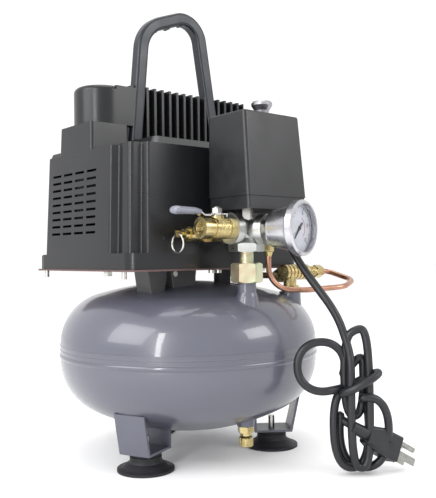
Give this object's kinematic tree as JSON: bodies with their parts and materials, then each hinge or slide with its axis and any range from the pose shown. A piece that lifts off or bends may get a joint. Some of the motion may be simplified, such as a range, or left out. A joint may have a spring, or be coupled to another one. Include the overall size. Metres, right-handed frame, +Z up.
{
  "type": "airbrush air compressor",
  "caption": "Small oil-free air compressor: vented motor cover with carrying arch on a round pancake tank, pressure switch, dial gauge and outlet valve at the front.",
  "frame": {"origin": "on the floor, at the centre of the footprint with the power cord left out", "axes": "+Z up, -Y towards the gauge and valves, -X towards the vented end of the cover"},
  "size_m": [0.246, 0.3161, 0.4257],
  "materials": {
    "tank_paint": "satin grey paint",
    "bracket_paint": "satin grey paint",
    "support_paint": "dark paint",
    "plate_paint": "dark paint",
    "foot_rubber": "matte",
    "zinc_steel": "zinc plated",
    "cover_plastic": "fine grain",
    "handle_plastic": "fine grain",
    "laminations": "stacked steel sheet",
    "winding_copper": "varnished copper wire",
    "cast_aluminium": "die cast",
    "machined_steel": "turned",
    "fan_plastic": "moulded",
    "switch_plastic": "moulded",
    "knob_metal": "satin plated",
    "diaphragm_rubber": "matte",
    "spring_steel": "drawn wire",
    "union_zinc": "yellow zinc plated",
    "manifold_alloy": "cast",
    "brass": "turned",
    "copper_tube": "drawn copper",
    "gauge_chrome": "polished",
    "dial_white": "printed",
    "lens_glass": "clear",
    "needle_black": "painted",
    "valve_nickel": "nickel plated",
    "lever_steel": "pressed sheet",
    "grip_vinyl": "dipped vinyl",
    "cord_vinyl": "soft vinyl",
    "prong_metal": "plated"
  },
  "bodies": {
    "compressor": {"tank_upper_head": "tank_paint", "tank_lower_head": "tank_paint", "tank_welded_fittings": "tank_paint", "foot_brackets": "bracket_paint", "rubber_feet": "foot_rubber", "foot_studs": "zinc_steel", "support_brackets": "support_paint", "rubber_isolators": "foot_rubber", "cover_fasteners": "zinc_steel", "base_plate": "plate_paint", "cover": "cover_plastic", "carrying_handle": "handle_plastic", "motor_stator": "laminations", "stator_windings": "winding_copper", "motor_end_bracket": "cast_aluminium", "motor_bearings": "machined_steel", "pump_frame": "cast_aluminium", "pump_cylinder": "cast_aluminium", "valve_plate": "machined_steel", "cylinder_head": "cast_aluminium", "pump_bolts": "zinc_steel", "intake_filter": "fan_plastic", "discharge_tube": "copper_tube", "unloader_tube": "copper_tube", "switch_cover": "switch_plastic", "switch_base": "switch_plastic", "switch_contacts": "fan_plastic", "switch_diaphragm": "diaphragm_rubber", "control_springs": "spring_steel", "cord_gland": "cord_vinyl", "tank_union": "union_zinc", "manifold": "manifold_alloy", "port_nipples": "valve_nickel", "tube_nuts": "brass", "gauge_case": "gauge_chrome", "gauge_dial": "dial_white", "gauge_lens": "lens_glass", "bourdon_tube": "brass", "ball_valve_body": "brass", "relief_valve_body": "brass", "check_valve_body": "brass", "drain_body": "brass", "cord_tube": "cord_vinyl", "cord_hank": "cord_vinyl", "plug_body": "cord_vinyl", "plug_prongs": "prong_metal"},
    "valve_lever_assembly": {"valve_ball": "gauge_chrome", "valve_stem_and_nut": "zinc_steel", "valve_lever": "lever_steel", "lever_grip": "grip_vinyl"},
    "pull_knob": {"switch_knob": "knob_metal"},
    "relief_pull": {"relief_stem": "brass"},
    "pull_ring": {"relief_ring": "spring_steel"},
    "gauge_pointer": {"gauge_needle": "needle_black"},
    "drain_screw": {"drain_knob": "brass"},
    "rotor": {"rotor_and_shaft": "machined_steel", "cooling_fan": "fan_plastic", "crank_counterweight": "machined_steel"},
    "piston": {"piston_and_rod": "cast_aluminium"},
    "poppet": {"check_poppet": "diaphragm_rubber"}
  },
  "joints": [
    {"name": "lever_turn", "type": "hinge", "parent": "compressor", "child": "valve_lever_assembly", "pos_m": [-0.041, -0.07745, 0.208], "axis": [0, 0, 1], "range_deg": [0, 90]},
    {"name": "knob_slide", "type": "slide", "parent": "compressor", "child": "pull_knob", "axis": [0, 0, 1], "range_m": [0, 0.004]},
    {"name": "relief_slide", "type": "slide", "parent": "compressor", "child": "relief_pull", "axis": [-1, 0, 0], "range_m": [0, 0.003], "stiffness_N_per_m": 1500},
    {"name": "ring_swing", "type": "hinge", "parent": "relief_pull", "child": "pull_ring", "pos_m": [-0.067, -0.05745, 0.2035], "axis": [0, 1, 0], "range_deg": [-45, 60]},
    {"name": "needle_turn", "type": "hinge", "parent": "compressor", "child": "gauge_pointer", "pos_m": [0.00511, -0.12813, 0.207], "axis": [-0.2504, 0.9681, 0], "range_deg": [0, 270], "stiffness_Nm_per_rad": 0.002},
    {"name": "drain_turn", "type": "hinge", "parent": "compressor", "child": "drain_screw", "pos_m": [0.007, -0.05745, 0.02], "axis": [0, 0, 1], "range_deg": [0, 180]},
    {"name": "rotor_spin", "type": "hinge", "parent": "compressor", "child": "rotor", "pos_m": [0, 0.06355, 0.228], "axis": [1, 0, 0], "continuous": true},
    {"name": "piston_slide", "type": "slide", "parent": "compressor", "child": "piston", "axis": [0, 0, 1], "range_m": [0, 0.016]},
    {"name": "poppet_slide", "type": "slide", "parent": "compressor", "child": "poppet", "axis": [0, 0, 1], "range_m": [0, 0.0015]}
  ]
}
